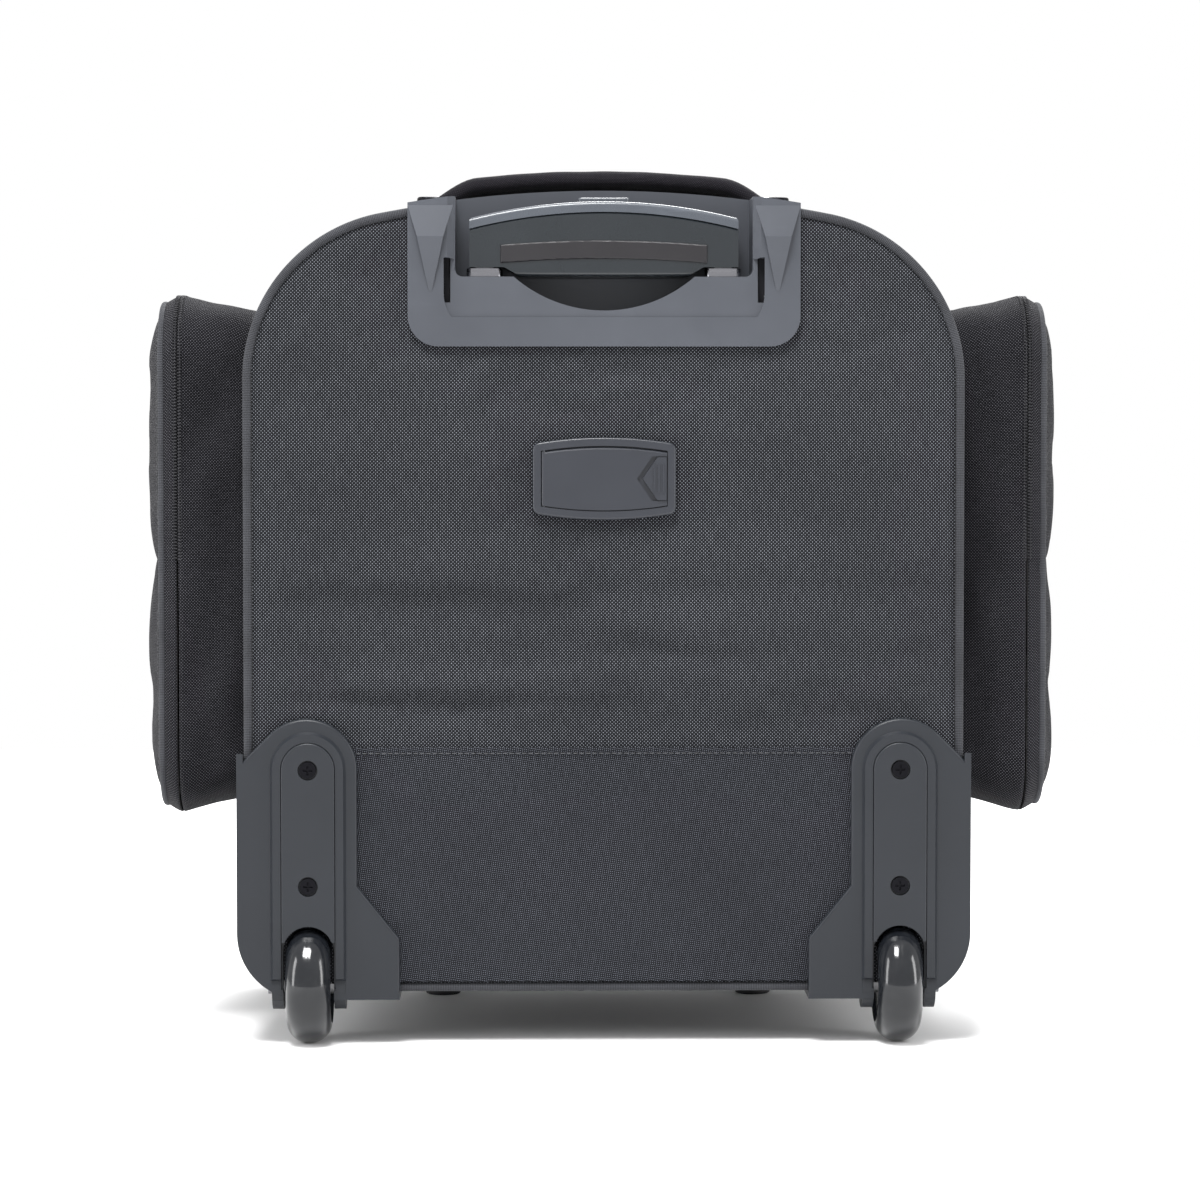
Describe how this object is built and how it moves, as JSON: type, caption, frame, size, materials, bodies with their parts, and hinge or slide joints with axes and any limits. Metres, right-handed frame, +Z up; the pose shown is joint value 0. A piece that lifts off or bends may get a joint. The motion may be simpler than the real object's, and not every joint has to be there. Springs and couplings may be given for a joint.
{
  "type": "rolling flight case",
  "caption": "Soft-sided upright rolling case with a telescoping trolley handle, skate wheels, padded carry handle, fold-down front lid and zipped pockets on its front and sides.",
  "frame": {"origin": "centre of the bounding box's footprint, on the floor", "axes": "+Z up; +Y is the back, with the trolley and the wheels; -Y is the front; +X is the left hand of someone looking at the back"},
  "size_m": [0.49, 0.2803, 0.472],
  "materials": {
    "ballistic_fabric": "coarse woven ballistic nylon",
    "fine_fabric": "fine woven nylon",
    "piping": "woven cover over a cord",
    "webbing": "padded nylon handle",
    "board": "extruded sheet",
    "housing_plastic": "fine moulded texture",
    "grip_plastic": "satin moulded",
    "grip_cover_plastic": "satin moulded",
    "soft_rubber": "soft black",
    "foot_rubber": "hard black rubber",
    "tyre": "polished polyurethane",
    "hub_plastic": "moulded nylon",
    "tube_aluminium": "anodised",
    "steel": "zinc plated",
    "dark_screw": "black oxide",
    "bright_metal": "nickel plated",
    "coil": "nylon coil and tape",
    "pull_plastic": "dark enamel",
    "satin_panel": "smooth satin coated fabric",
    "card": "plain card"
  },
  "bodies": {
    "case": {"main_gusset": "ballistic_fabric", "back_panel": "ballistic_fabric", "kick_panel": "fine_fabric", "back_piping": "piping", "frame_boards": "board", "tube_cover": "board", "trolley_housing": "housing_plastic", "housing_studs": "dark_screw", "outer_tubes": "tube_aluminium", "tube_base_bar": "board", "wheel_housing_left": "housing_plastic", "wheel_housing_right": "housing_plastic", "wheel_covers": "housing_plastic", "housing_screws": "dark_screw", "bearing_inner_races": "steel", "axle_washers": "steel", "axle_bolts": "bright_metal", "feet": "foot_rubber", "carry_handle": "webbing", "handle_tabs": "webbing", "handle_rivets": "bright_metal", "tag_frame": "grip_plastic", "tag_card": "card", "main_zipper_body": "coil", "side_pocket_walls": "fine_fabric", "side_pocket_lowers": "ballistic_fabric", "zipper_sliders": "pull_plastic"},
    "lid": {"main_zipper_lid": "coil", "lid_gusset": "fine_fabric", "lid_panel": "ballistic_fabric", "lid_piping": "piping", "front_pocket_gusset": "satin_panel"},
    "pocket_panel": {"front_pocket_face": "fine_fabric", "front_slider": "pull_plastic"},
    "front_pull": {"front_pull": "pull_plastic"},
    "flap_left": {"side_pocket_flap_left": "ballistic_fabric"},
    "flap_right": {"side_pocket_flap_right": "ballistic_fabric"},
    "wheel_left": {"wheel_tyre_left": "tyre", "wheel_hub_left": "hub_plastic", "bearing_outer_races_left": "steel"},
    "wheel_right": {"wheel_tyre_right": "tyre", "wheel_hub_right": "hub_plastic", "bearing_outer_races_right": "steel"},
    "trolley_mid": {"mid_tubes": "tube_aluminium", "mid_tube_shoes": "soft_rubber", "mid_tube_collars": "bright_metal"},
    "trolley_grip": {"inner_tubes": "tube_aluminium", "inner_tube_shoes": "soft_rubber", "grip_frame": "grip_plastic", "grip_cover": "grip_cover_plastic", "grip_rubber": "soft_rubber", "button_springs": "steel"},
    "grip_button": {"grip_button": "grip_cover_plastic", "push_rods": "steel"},
    "tag_door": {"tag_door": "grip_plastic"},
    "tag_latch": {"tag_latch": "grip_plastic"},
    "main_pull_left": {"main_pull_left": "bright_metal"},
    "main_pull_right": {"main_pull_right": "bright_metal"},
    "side_pull_left": {"side_pull_left": "pull_plastic"},
    "side_pull_right": {"side_pull_right": "pull_plastic"}
  },
  "joints": [
    {"name": "lid_fold", "type": "hinge", "parent": "case", "child": "lid", "pos_m": [0, -0.097, 0.0283], "axis": [1, 0, 0], "range_deg": [0, 65]},
    {"name": "front_pocket_fold", "type": "hinge", "parent": "lid", "child": "pocket_panel", "pos_m": [0, -0.1233, 0.0498], "axis": [1, 0, 0], "range_deg": [0, 15]},
    {"name": "front_pull_swing", "type": "hinge", "parent": "pocket_panel", "child": "front_pull", "pos_m": [0, -0.1273, 0.4055], "axis": [-1, 0, 0], "range_deg": [0, 100]},
    {"name": "flap_left_fold", "type": "hinge", "parent": "case", "child": "flap_left", "pos_m": [0.2452, 0.013, 0.2533], "axis": [0, 1, 0], "range_deg": [0, 120]},
    {"name": "flap_right_fold", "type": "hinge", "parent": "case", "child": "flap_right", "pos_m": [-0.2452, 0.013, 0.2533], "axis": [0, -1, 0], "range_deg": [0, 120]},
    {"name": "wheel_left_spin", "type": "hinge", "parent": "case", "child": "wheel_left", "pos_m": [0.1575, 0.1083, 0.032], "axis": [1, 0, 0], "continuous": true},
    {"name": "wheel_right_spin", "type": "hinge", "parent": "case", "child": "wheel_right", "pos_m": [-0.1575, 0.1083, 0.032], "axis": [1, 0, 0], "continuous": true},
    {"name": "trolley_lower_slide", "type": "slide", "parent": "case", "child": "trolley_mid", "axis": [0, 0, 1], "range_m": [0, 0.29]},
    {"name": "trolley_upper_slide", "type": "slide", "parent": "trolley_mid", "child": "trolley_grip", "axis": [0, 0, 1], "range_m": [0, 0.29]},
    {"name": "grip_button_press", "type": "slide", "parent": "trolley_grip", "child": "grip_button", "axis": [0, 0, -1], "range_m": [0, 0.002], "stiffness_N_per_m": 800, "springref_m": -0.003, "deforming": ["button_springs"]},
    {"name": "tag_door_swing", "type": "hinge", "parent": "case", "child": "tag_door", "pos_m": [0.0321, 0.12, 0.302], "axis": [0, 0, -1], "range_deg": [0, 95]},
    {"name": "tag_latch_slide", "type": "slide", "parent": "tag_door", "child": "tag_latch", "axis": [1, 0, 0], "range_m": [0, 0.0025]},
    {"name": "main_pull_left_swing", "type": "hinge", "parent": "case", "child": "main_pull_left", "pos_m": [0.009, -0.097, 0.4585], "axis": [1, 0, 0], "range_deg": [0, 150]},
    {"name": "main_pull_right_swing", "type": "hinge", "parent": "case", "child": "main_pull_right", "pos_m": [-0.009, -0.097, 0.4585], "axis": [1, 0, 0], "range_deg": [0, 150]},
    {"name": "side_pull_left_swing", "type": "hinge", "parent": "case", "child": "side_pull_left", "pos_m": [0.228, -0.0693, 0.262], "axis": [-1, 0, 0], "range_deg": [0, 120]},
    {"name": "side_pull_right_swing", "type": "hinge", "parent": "case", "child": "side_pull_right", "pos_m": [-0.228, -0.0693, 0.262], "axis": [-1, 0, 0], "range_deg": [0, 120]}
  ]
}
